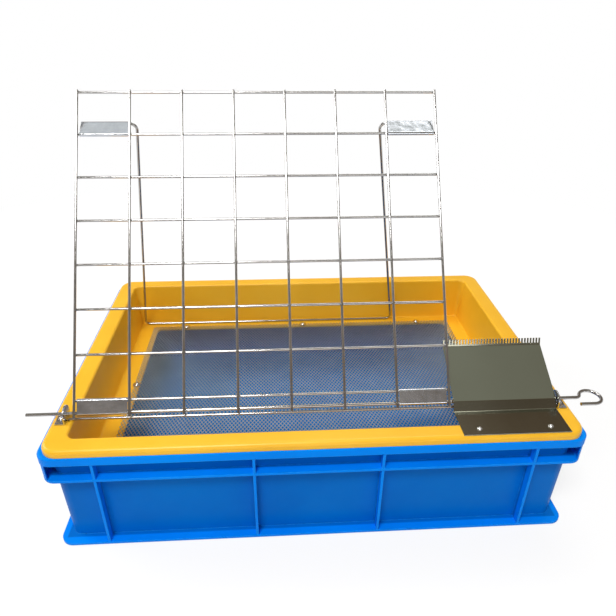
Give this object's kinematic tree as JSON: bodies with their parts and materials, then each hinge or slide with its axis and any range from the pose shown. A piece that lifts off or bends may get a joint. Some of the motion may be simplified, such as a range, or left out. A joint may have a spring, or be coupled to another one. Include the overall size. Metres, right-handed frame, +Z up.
{
  "type": "uncapping tank",
  "caption": "Stacking crate with a strainer tray on its rim, a leaning wire rack for honeycomb frames on a pull-out rod, a folding prop stand and a toothed comb plate for cleaning tools.",
  "frame": {"origin": "middle of the crate's base, on the ground", "axes": "+X along the crate's length to the comb plate and the rod's handle, +Y to the back, towards which the rack leans, +Z up"},
  "size_m": [0.6551, 0.4, 0.4611],
  "materials": {
    "crate_plastic": "blue moulded polypropylene, satin",
    "tray_plastic": "warm yellow moulded plastic, satin gloss",
    "mesh_steel": "woven stainless wire",
    "wire_steel": "bright stainless wire",
    "sheet_steel": "bright stainless sheet",
    "comb_steel": "polished stainless sheet",
    "fastener_steel": "bright zinc-plated steel"
  },
  "bodies": {
    "crate": {"crate": "crate_plastic"},
    "tray": {"tray": "tray_plastic", "strainer_mesh": "mesh_steel", "mesh_washers": "fastener_steel", "mesh_rivets": "fastener_steel", "left_rod_lug": "sheet_steel", "right_rod_lug": "sheet_steel", "lug_bolts": "fastener_steel", "lug_nuts": "fastener_steel", "stop_wire": "wire_steel", "comb_plate": "comb_steel", "comb_bolts": "fastener_steel", "comb_nuts": "fastener_steel"},
    "rod": {"pivot_rod": "wire_steel"},
    "rack": {"grid_upright_1": "wire_steel", "grid_upright_2": "wire_steel", "grid_upright_3": "wire_steel", "grid_upright_4": "wire_steel", "grid_upright_5": "wire_steel", "grid_upright_6": "wire_steel", "grid_upright_7": "wire_steel", "grid_upright_8": "wire_steel", "grid_crossbar_1": "wire_steel", "grid_crossbar_2": "wire_steel", "grid_crossbar_3": "wire_steel", "grid_crossbar_4": "wire_steel", "grid_crossbar_5": "wire_steel", "grid_crossbar_6": "wire_steel", "grid_crossbar_7": "wire_steel", "grid_crossbar_8": "wire_steel", "lower_left_hinge_plate": "sheet_steel", "lower_right_hinge_plate": "sheet_steel", "upper_left_hinge_plate": "sheet_steel", "upper_right_hinge_plate": "sheet_steel"},
    "stand": {"prop_stand": "wire_steel"}
  },
  "joints": [
    {"name": "tray_lift", "type": "slide", "parent": "crate", "child": "tray", "axis": [0, 0, 1], "range_m": [0, 0.15]},
    {"name": "rack_hinge", "type": "hinge", "parent": "tray", "child": "rack", "pos_m": [0, -0.1474, 0.1518], "axis": [1, 0, 0], "range_deg": [0, 30]},
    {"name": "stand_fold", "type": "hinge", "parent": "rack", "child": "stand", "pos_m": [0, 0.04553, 0.4245], "axis": [1, 0, 0], "range_deg": [-46.5, 0]},
    {"name": "rod_pull", "type": "slide", "parent": "tray", "child": "rod", "axis": [1, 0, 0], "range_m": [0, 0.6]}
  ],
  "couplings": [
    {"joint": "stand_fold", "follows": "rack_hinge", "ratio": -1.55}
  ]
}
